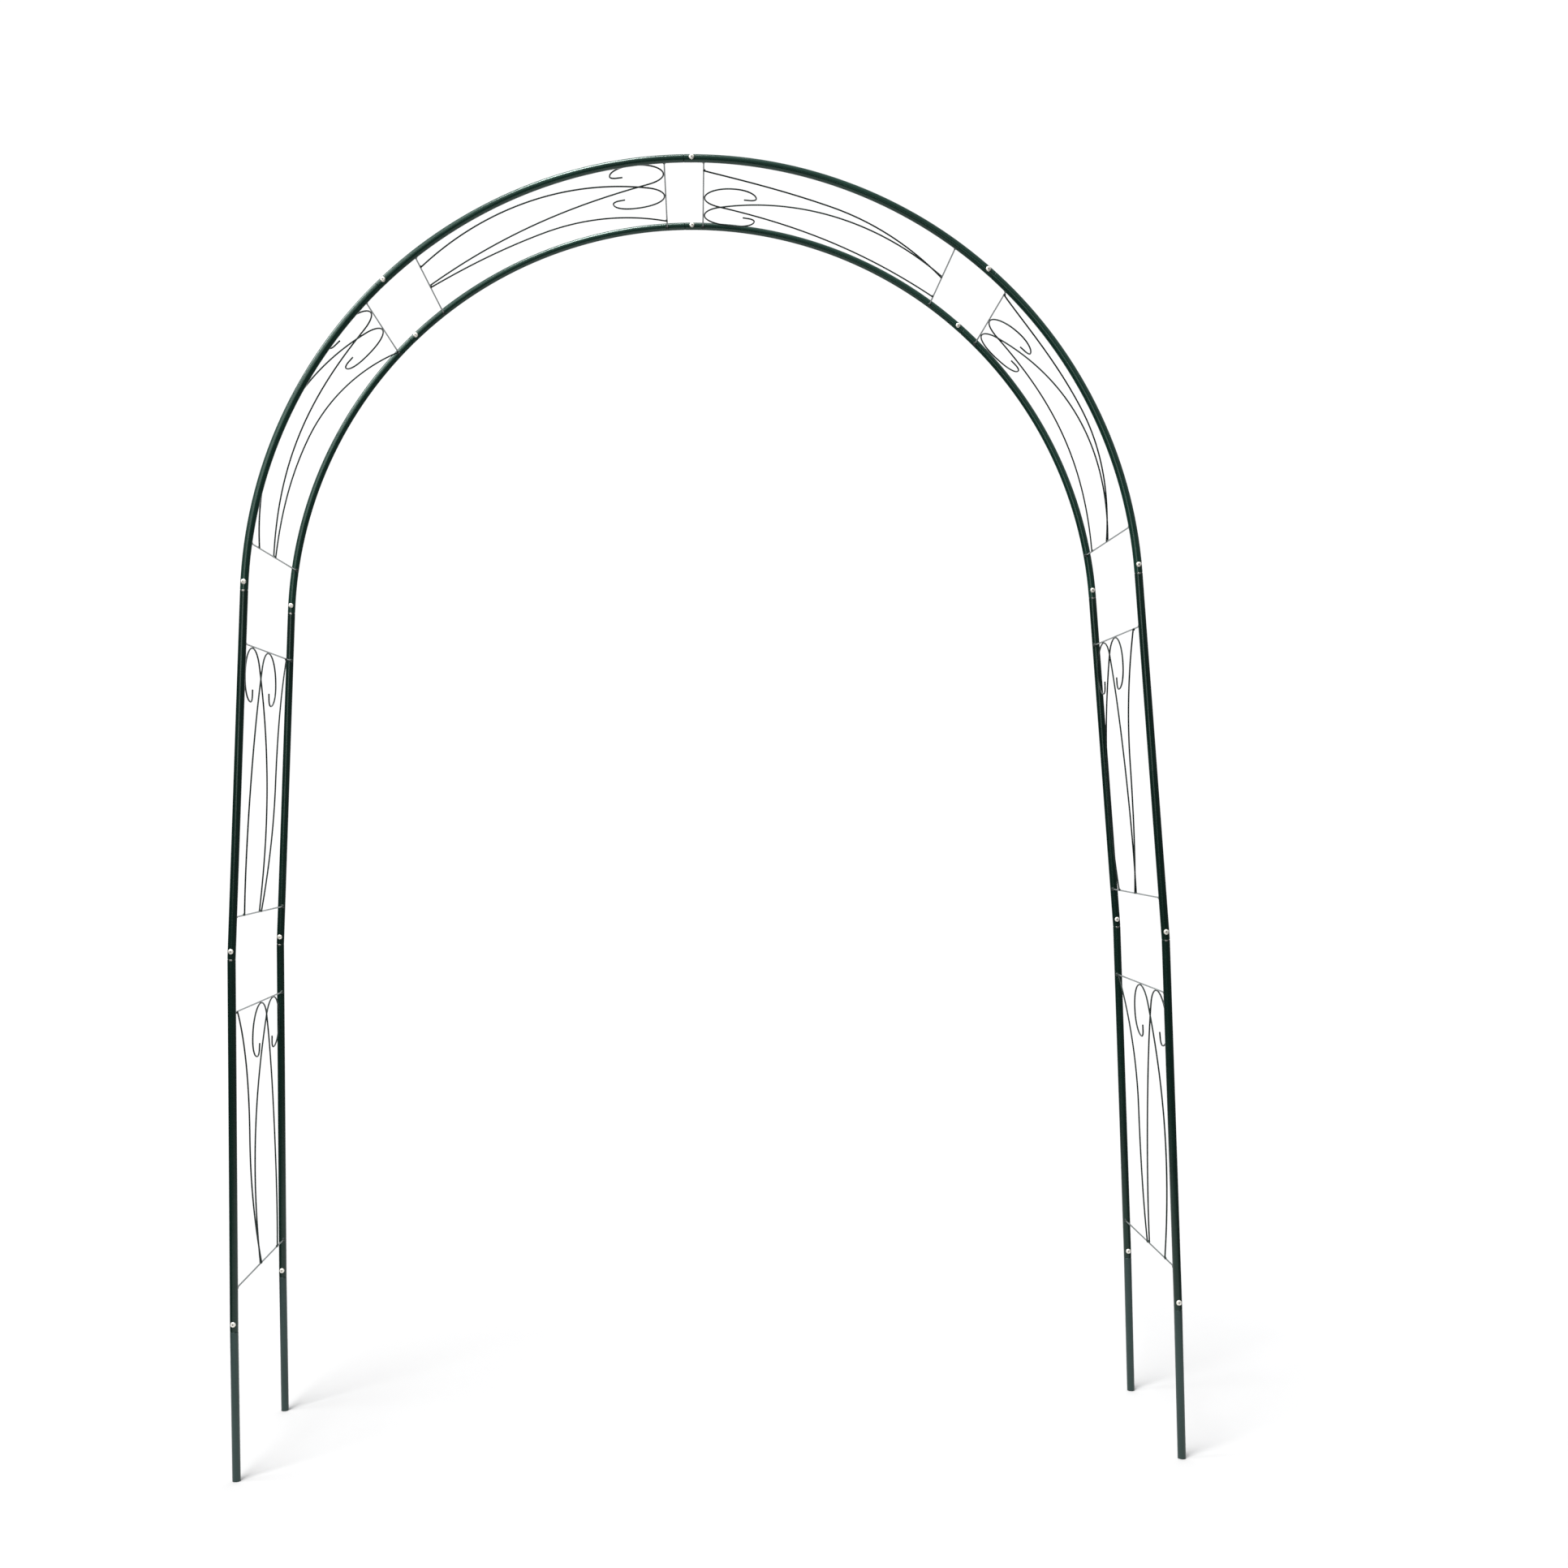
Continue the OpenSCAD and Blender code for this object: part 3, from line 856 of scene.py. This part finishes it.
def collar(shape, centre, ways, out):
    """A fillet of weld round a rung where it runs into a tube. `out` is away from the tube."""
    seed = noise_place()
    rings = []
    for height, radius in COLLAR:
        ring = []
        for turn in turns(COLLAR_SIDES):
            way = math.cos(turn) * ways[0] + math.sin(turn) * ways[1]
            grain = COLLAR_GRAIN * about_z(1, turn, COLLAR_GRAIN_RISE * height)
            uneven = 1 + COLLAR_UNEVEN * noise.noise(grain + seed)
            ring.append(centre + height * uneven * out + radius * uneven * way)
        rings.append(ring)
    shape.rings(rings, [COLLAR_WEAR] * len(rings))


def welds(side, panel):
    """The welds of a panel: where its rungs meet the tubes, and its wires the rungs."""
    shape = Shape()
    for up in RUNG_HEIGHTS:
        for end in (-1, 1):
            centre = panel_point(panel, RUNG_INSET, end * RUNG_END, from_rung(panel, up))
            out = on_side(side, -end * THROUGH)
            collar(shape, on_side(side, centre), ways_at(side, panel, up), out)

    crest_up = RUNG_SPACING - CREST_PART * CREST_DROP
    top_up = RUNG_SPACING - LUMP_RISE
    # Each lump's place from the bow wire's tube and the lower rung, how far inward, and its radii
    lumps = [
        (SCROLL_CENTRE - CREST_OFFSET, crest_up, WIRE_OFFSET / 2, CREST_LUMP),
        (SCROLL_CENTRE + CREST_OFFSET, crest_up, -WIRE_OFFSET / 2, CREST_LUMP),
        (BOW_TOP[panel], top_up, BOW_TOP_INSET, FOOT_LUMP),
        (BOW_FOOT, LUMP_RISE, LUMP_INSET, BOW_FOOT_LUMP),
        (SCROLL_CENTRE - STEM_FOOT_OFFSET, LUMP_RISE, -LUMP_INSET, FOOT_LUMP),
        (SCROLL_CENTRE + STEM_FOOT_OFFSET, LUMP_RISE, LUMP_INSET, FOOT_LUMP),
    ]
    for across, up, inward, radii in lumps:
        centre = on_side(side, wire_point(panel, RUNG_INSET + inward, across, up))
        ways = (on_side(side, THROUGH), *ways_at(side, panel, up))
        lump(shape, centre, ways, radii)
    return shape


def add_rungs_and_welds():
    for side in SIDES:
        for panel in PANELS:
            shape = Shape()
            for up in RUNG_HEIGHTS:
                rung(shape, side, panel, up)
            node = f"{side}_{panel}_rungs"
            # A lighter copy of the wire paint, painted light on the rungs
            add_piece(f"{node}_finished", shape, RUNG_PAINT_PAINTED_LIGHT, "wire_paint", node)
            name = f"{side}_{panel}_welds"
            add_piece(name, welds(side, panel), WELD_PAINT, "wire_paint", sharp=60)


# ---- Fasteners -------------------------------------------------------------------------

HEAD_SIDES = 96
HEAD_LEVELS = 34
# The rings of a head shrink by this power of their count, closest together at its rim
HEAD_SPACING = 0.8
# A pan head's rim is this high, and its top rises from there by a curve of this power
RIM_H = 0.0011
CROWN_POWER = 2.6
# A head's lower edge is broken this far
HEAD_EDGE = 0.0002
# A head's underside, from the shank out to the rim: [height, radius, painted shade]
UNDERSIDE = [
    (0.0, BOLT_R * 1.05, 0.4),
    (0.0, HEAD_R - HEAD_EDGE, 0.2),
    (HEAD_EDGE, HEAD_R, 0.0),
]

# The cross recess: how far its arms reach, half their width, and how far its walls slope
RECESS_REACH = 0.0020
RECESS_HALF = 0.00042
RECESS_DEPTH = 0.0014
RECESS_END_WALL = 0.0007
RECESS_SIDE_WALL = 0.00022
RECESS_MIDDLE_R = 0.0008
RECESS_MIDDLE_WALL = 0.0003
# Painted shade in the cross recess, where it is sunk
RECESS_PAINTED_SHADE = 0.75

SHANK_SIDES = 36
# A shank runs this far into its head, and its thread starts this far inside the tube's back
SHANK_SINK = 0.0003
THREAD_START = 0.001
THREAD_RUNOUT = 0.0002
# The plain shank is this much thinner than the thread's crests, and the nut's bore this much wider
THREAD_SLACK = 0.0001
THREAD_PITCH = 0.0008
THREAD_DEPTH = 0.00045
THREAD_STEPS = 6
# Painted shade on the shank and its thread
THREAD_PAINTED_SHADE = 0.15
TIP_CHAMFER = 0.0006
# This many rings at a bolt's tip get no painted shade
BRIGHT_TIP_RINGS = 2

NUT_SIDES = 96
NUT_BORE_R = BOLT_R + THREAD_SLACK
NUT_COUNTERSINK = 0.0004
# A nut's faces are round and flat out to here, and fall away beyond
NUT_FACE_R = NUT_WIDTH / 2 * 0.97
NUT_FALL = math.tan(math.radians(30))
# Painted shade from the bore's edge over one face, the sides and the other face, and back down the
# bore
NUT_PAINTED_SHADES = (0.2, 0.05, 0.0, 0.0, 0.05, 0.2, 0.5, 0.5)


def bolt_places():
    """A frame for each bolt: +Z to the front along the bolt, from the tube's axis."""
    places = []
    for across in HOOPS.values():
        for panel in PANELS:
            place = panel_point(panel, 0, across, BOLT_SETBACK)
            slope = slope_at(panel, BOLT_SETBACK)
            places.append((place, slope))
            # The right half of the same hoop mirrors it
            places.append((Vector((-place.x, place.y, place.z)), -slope))
        crown = ARCH_PANEL_LENGTH + BOLT_SETBACK
        place = panel_point("upper_arch", 0, across, crown)
        places.append((place, slope_at("upper_arch", crown)))
    frames = []
    for place, slope in places:
        up = leaning(slope)
        axes = Matrix((up.cross(-THROUGH), up, -THROUGH)).transposed().to_4x4()
        frames.append(Matrix.Translation(place) @ axes @ random_spin())
    return frames


def random_spin():
    """A random turn about a fastener's own axis."""
    return Matrix.Rotation(random_draws.uniform(0, 2 * math.pi), 4, "Z")


def part_of(value, whole):
    """What part of a whole a value is, held between none and all of it."""
    return min(1.0, max(0.0, value / whole))


def head_top(x, y):
    """Height of a pan head over its underside, and what part of the recess is sunk there."""
    r = math.hypot(x, y)
    dome = math.sqrt(max(0.0, 1 - (r / HEAD_R) ** CROWN_POWER))
    sunk = part_of(RECESS_MIDDLE_R - r, RECESS_MIDDLE_WALL)
    for along, beside in ((abs(x), abs(y)), (abs(y), abs(x))):
        reach = part_of(RECESS_REACH - along, RECESS_END_WALL)
        width = part_of(RECESS_HALF + RECESS_SIDE_WALL - beside, RECESS_SIDE_WALL)
        sunk = max(sunk, reach * width)
    return RIM_H + (HEAD_H - RIM_H) * dome - RECESS_DEPTH * sunk, sunk


def bolt_head(shape, place):
    """A pan head as a disc of fine rings, so that the recess has its own walls."""
    base = TUBE_R + CONTACT
    firsts = [
        shape.ring(level_circle(place, radius, base + height, HEAD_SIDES), wear_and_painted_light)
        for height, radius, wear_and_painted_light in UNDERSIDE
    ]
    for level in range(HEAD_LEVELS):
        r = HEAD_R * (1 - level / HEAD_LEVELS) ** HEAD_SPACING
        firsts.append(len(shape.points))
        for turn in turns(HEAD_SIDES):
            x, y = r * math.cos(turn), r * math.sin(turn)
            height, sunk = head_top(x, y)
            shape.points.append(place @ Vector((x, y, base + height)))
            shape.wear_and_painted_light.append(RECESS_PAINTED_SHADE * sunk)
    shape.bands(firsts, HEAD_SIDES)
    shape.caps(firsts, HEAD_SIDES)


def bolt_shank(shape, place):
    """The shank through the tube, and its thread from the nut to the tip."""
    top = TUBE_R + CONTACT + SHANK_SINK
    thread_top = -TUBE_R + THREAD_START
    tip = -TUBE_R - NUT_H - BOLT_TIP
    rings = []
    count = math.ceil((thread_top - tip) / THREAD_PITCH * THREAD_STEPS)
    for i in reversed(range(count + 1)):
        height = thread_top + (tip - thread_top) * i / count
        chamfer = max(0.0, TIP_CHAMFER - (height - tip))
        ring = []
        for k, turn in enumerate(turns(SHANK_SIDES)):
            phase = (height / THREAD_PITCH + k / SHANK_SIDES) % 1.0
            groove = THREAD_DEPTH * (1 - abs(2 * phase - 1))
            ring.append(place @ about_z(BOLT_R - max(groove, chamfer), turn, height))
        rings.append(ring)
    for height in (thread_top + THREAD_RUNOUT, top):
        rings.append(level_circle(place, BOLT_R - THREAD_SLACK, height, SHANK_SIDES))
    shape.rings(rings, [0.0 if i < BRIGHT_TIP_RINGS else THREAD_PAINTED_SHADE for i in range(len(rings))])


def nut(shape, place):
    """A hex nut, chamfered on both faces, with a countersunk bore."""
    base = -TUBE_R - CONTACT - NUT_H
    top = base + NUT_H

    def hexagon(height, way):
        """The edge of a face, with corners that fall back from it; `way` is into the nut."""
        points = []
        for turn in turns(NUT_SIDES):
            off_flat = (turn + math.pi / 6) % (math.pi / 3) - math.pi / 6
            radius = NUT_WIDTH / 2 / math.cos(off_flat)
            fall = max(0.0, radius - NUT_FACE_R) * NUT_FALL
            points.append(place @ about_z(radius, turn, height + way * fall))
        return points

    def ring(radius, height):
        return level_circle(place, radius, height, NUT_SIDES)

    rings = [
        ring(NUT_BORE_R + NUT_COUNTERSINK, base),
        ring(NUT_FACE_R, base),
        hexagon(base, 1),
        hexagon(top, -1),
        ring(NUT_FACE_R, top),
        ring(NUT_BORE_R + NUT_COUNTERSINK, top),
        ring(NUT_BORE_R, top - NUT_COUNTERSINK),
        ring(NUT_BORE_R, base + NUT_COUNTERSINK),
    ]
    shape.rings(rings, NUT_PAINTED_SHADES, closed=True)


def add_fasteners():
    bolts, nuts = Shape(), Shape()
    for place in bolt_places():
        bolt_head(bolts, place)
        bolt_shank(bolts, place)
        nut(nuts, place @ random_spin())
    add_piece("joint_bolts_finished", bolts, ZINC, "zinc", "joint_bolts", sharp=50)
    add_piece("joint_nuts_finished", nuts, ZINC, "zinc", "joint_nuts", sharp=25)


# ---- Stage -----------------------------------------------------------------------------

FLOOR_DROP = 0.0005
FLOOR_SIDES = 96
FLOOR_RADII = (0.5, 2, 4, 6)
# The floor is paler away from the lights, so that it takes an even brightness from them
FLOOR_TONES = (0.433, 0.430, 0.429), (0.580, 0.577, 0.576)
# X and Y together run this far each way from one tone to the other
FLOOR_TONE_REACH = 2.5
# Where the floor fades out: to both sides, towards the camera, and behind the arch
FLOOR_SIDE_FADE = (1.3, 1.7)
FLOOR_FRONT_FADE = (-2.2, -1.8)
FLOOR_BACK_FADE = (1.5, 3.0)

# The sky as light. A direction's part along an axis runs from -1 to 1, and each glow goes from
# nothing to full over a range of it: [low, high, brightness]
DIMMEST_SKY = 0.035
WALL_GLOW = (0.75, 1.0, 1.5)
CEILING_GLOW = (0.05, 0.5, 0.5)
SIDE_GLOW = (0.0, 1.0, 0.10)
# How much a direction's height counts towards the glow of the wall
WALL_LIFT = 0.5
SKY_COLOUR = (0.97, 0.985, 1.0, 1)
# The sky as the camera sees it
SEEN_COLOUR = (1, 1, 1, 1)
SEEN_BRIGHTNESS = 1.05

# Each softbox has a place, what it is aimed at, its width and height, and its power
SOFTBOXES = {
    # High up in front, a little to the left, so that the shadows fall back and to the right
    "overhead": ((-3.9, -6.4, 20.5), (0, 0, 0), (5.6, 5.6), 4900),
    "key": ((-1.3, -3.7, 1.95), (-0.6, 0, 1.6), (1.6, 1.7), 24),
    "high_key": ((-2.4, -2.8, 3.7), (-0.4, 0, 1.9), (2.3, 2.3), 52),
    "side": ((-2.9, -0.6, 4.4), (-0.5, 0, 2.1), (1.2, 1.2), 68),
}

CAMERA_PLACE = (-0.001, -3.404, 1.194)
# Turned in degrees from level and straight ahead: left, up, and over to the right
CAMERA_TURNS = (-0.57, 0.97, 1.17)
CAMERA_SENSOR = 36.0
CAMERA_LENS = 40.40
CAMERA_SHIFT = (0.045, -0.0016)


def floor_material():
    shader = Shader("floor")
    axes = shader.axes(shader.place())
    diagonal = shader.maths("ADD", axes["X"], axes["Y"])
    tone = shader.mix_colours(
        shader.spread(diagonal, -FLOOR_TONE_REACH, FLOOR_TONE_REACH), *FLOOR_TONES
    )
    aside = shader.spread(shader.maths("ABSOLUTE", axes["X"]), *FLOOR_SIDE_FADE)
    forward = shader.spread(axes["Y"], *FLOOR_FRONT_FADE, 1.0, 0.0)
    away = shader.spread(axes["Y"], *FLOOR_BACK_FADE)
    fade = shader.maths("MAXIMUM", shader.maths("MAXIMUM", aside, forward), away)
    surface = shader.add("ShaderNodeBsdfDiffuse", {"Color": tone})
    clear = shader.add("ShaderNodeBsdfTransparent")
    blend = shader.blend(fade, surface, clear)
    shader.add("ShaderNodeOutputMaterial", {"Surface": blend})
    return shader.material


def add_floor():
    """A pale floor that fades out into the background."""
    shape = Shape()
    firsts = [
        shape.ring(level_circle(Matrix(), radius, -FLOOR_DROP, FLOOR_SIDES))
        for radius in FLOOR_RADII
    ]
    shape.bands(firsts, FLOOR_SIDES)
    shape.faces.append(tuple(range(FLOOR_SIDES)))
    new_object("floor", new_mesh("floor", shape, floor_material()))


def add_softbox(name, place, aim, size, power):
    light = bpy.data.lights.new(name, "AREA")
    light.shape = "RECTANGLE"
    light.size, light.size_y = size
    light.energy = power
    lamp = new_object(name, light)
    lamp.location = place
    lamp.rotation_euler = (Vector(aim) - Vector(place)).to_track_quat("-Z", "Y").to_euler()


def add_sky():
    """White to the camera. As light it is brightest behind the arch, and less so overhead."""
    world = bpy.data.worlds.new("studio")
    sky = Nodes(world)
    axes = sky.axes(sky.place("Generated"))
    height = sky.maths("MAXIMUM", axes["Z"], 0.0)
    wall = sky.maths("ADD", axes["Y"], sky.maths("MULTIPLY", height, WALL_LIFT))
    strength = DIMMEST_SKY
    for value, (low, high, full) in (
        (wall, WALL_GLOW),
        (height, CEILING_GLOW),
        (axes["X"], SIDE_GLOW),
    ):
        glow = sky.spread(value, low, high, 0.0, full, interpolation_type="SMOOTHSTEP")
        strength = sky.maths("ADD", glow, strength)
    lit = sky.add("ShaderNodeBackground", {"Color": SKY_COLOUR, "Strength": strength})
    seen = sky.add("ShaderNodeBackground", {"Color": SEEN_COLOUR, "Strength": SEEN_BRIGHTNESS})
    ray = sky.add("ShaderNodeLightPath").outputs["Is Camera Ray"]
    sky.add("ShaderNodeOutputWorld", {"Surface": sky.blend(ray, lit, seen)})
    bpy.context.scene.world = world


def add_camera():
    """Standing in front of the walkway, at about half the arch's height."""
    camera = bpy.data.cameras.new("camera")
    camera.sensor_width = CAMERA_SENSOR
    camera.lens = CAMERA_LENS
    camera.shift_x, camera.shift_y = CAMERA_SHIFT
    eye = new_object("camera", camera)
    turn = Matrix()
    for angle, axis in zip(CAMERA_TURNS, "ZXY"):
        turn = turn @ Matrix.Rotation(math.radians(angle), 4, axis)
    upright = Matrix.Rotation(math.pi / 2, 4, "X")
    eye.matrix_world = Matrix.Translation(CAMERA_PLACE) @ turn @ upright
    bpy.context.scene.camera = eye


def add_stage():
    add_floor()
    add_sky()
    for name, softbox in SOFTBOXES.items():
        add_softbox(name, *softbox)
    add_camera()
    bpy.context.scene.view_settings.view_transform = "Standard"


add_tubes()
add_wires()
add_rungs_and_welds()
add_fasteners()
add_stage()
